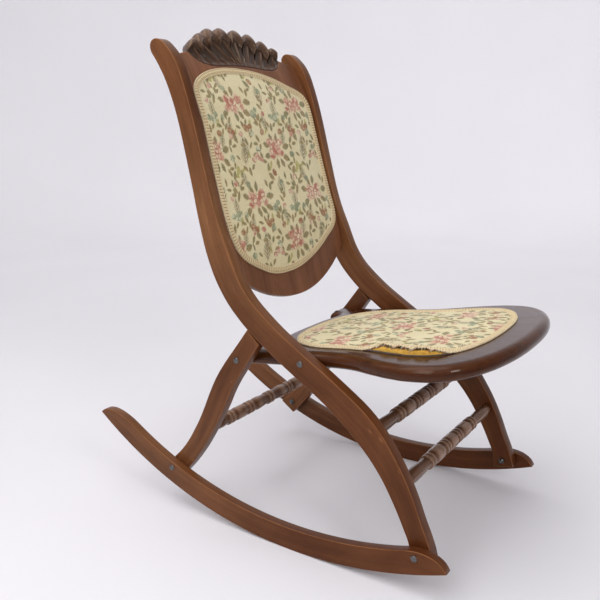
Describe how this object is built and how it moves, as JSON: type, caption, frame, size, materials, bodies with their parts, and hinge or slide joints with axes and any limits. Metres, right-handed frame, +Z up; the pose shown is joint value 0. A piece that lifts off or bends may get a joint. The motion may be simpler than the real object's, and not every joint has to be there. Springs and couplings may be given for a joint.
{
  "type": "folding rocking chair",
  "caption": "Low folding sewing rocker: curved side posts and rear legs on bent rockers, padded seat, curved padded back with a carved crest, turned rungs.",
  "frame": {"origin": "on the floor, under the middle of the chair's box, as it stands open", "axes": "+Z up, +X towards the sitter's left, -Y forwards, the way the chair faces"},
  "size_m": [0.441, 0.7676, 0.8617],
  "materials": {
    "walnut": "satin shellac, worn at the edges",
    "turned_walnut": "satin shellac",
    "dark_walnut": "dark stained carving",
    "dowel": "bare wood",
    "tapestry": "floral jacquard tapestry",
    "gimp": "scalloped gold and cream gimp",
    "foam": "yellowed foam padding",
    "dark_steel": "dull dark steel"
  },
  "bodies": {
    "back_frame": {"left_post": "walnut", "right_post": "walnut", "upper_front_rung": "turned_walnut", "lower_front_rung": "turned_walnut", "back_panel": "walnut", "carved_crest": "dark_walnut", "back_padding": "foam", "back_cover": "tapestry", "back_braid": "gimp", "left_front_foot_bolt": "dark_steel", "left_front_foot_washer": "dark_steel", "left_front_foot_nut": "dark_steel", "left_lower_panel_dowel": "dowel", "left_upper_panel_dowel": "dowel", "right_front_foot_bolt": "dark_steel", "right_front_foot_washer": "dark_steel", "right_front_foot_nut": "dark_steel", "right_lower_panel_dowel": "dowel", "right_upper_panel_dowel": "dowel"},
    "seat": {"seat_board": "walnut", "seat_padding": "foam", "seat_cover": "tapestry", "seat_braid": "gimp", "left_seat_pivot_screw": "dark_steel", "left_seat_pivot_washer": "dark_steel", "left_leg_pivot_screw": "dark_steel", "left_leg_pivot_washer": "dark_steel", "right_seat_pivot_screw": "dark_steel", "right_seat_pivot_washer": "dark_steel", "right_leg_pivot_screw": "dark_steel", "right_leg_pivot_washer": "dark_steel"},
    "rear_legs": {"left_leg": "walnut", "right_leg": "walnut", "rear_rung": "turned_walnut", "left_rear_foot_stud": "dark_steel", "left_rear_foot_washer": "dark_steel", "left_rear_foot_nut": "dark_steel", "right_rear_foot_stud": "dark_steel", "right_rear_foot_washer": "dark_steel", "right_rear_foot_nut": "dark_steel"},
    "left_rocker": {"left_rocker": "walnut", "left_rear_foot_bolt": "dark_steel"},
    "right_rocker": {"right_rocker": "walnut", "right_rear_foot_bolt": "dark_steel"}
  },
  "joints": [
    {"name": "seat_fold", "type": "hinge", "parent": "back_frame", "child": "seat", "pos_m": [0, -0.0691, 0.3244], "axis": [-1, 0, 0], "range_deg": [0, 100]},
    {"name": "leg_fold", "type": "hinge", "parent": "seat", "child": "rear_legs", "pos_m": [0, 0.06, 0.3074], "axis": [1, 0, 0], "range_deg": [0, 180]},
    {"name": "left_rocker_fold", "type": "hinge", "parent": "back_frame", "child": "left_rocker", "pos_m": [0.2097, -0.2862, 0.0627], "axis": [1, 0, 0], "range_deg": [0, 27]},
    {"name": "right_rocker_fold", "type": "hinge", "parent": "back_frame", "child": "right_rocker", "pos_m": [-0.2097, -0.2862, 0.0627], "axis": [1, 0, 0], "range_deg": [0, 27]}
  ],
  "couplings": [
    {"joint": "leg_fold", "follows": "seat_fold", "ratio": 1.7867},
    {"joint": "left_rocker_fold", "follows": "seat_fold", "ratio": 0.2645},
    {"joint": "right_rocker_fold", "follows": "seat_fold", "ratio": 0.2645}
  ]
}
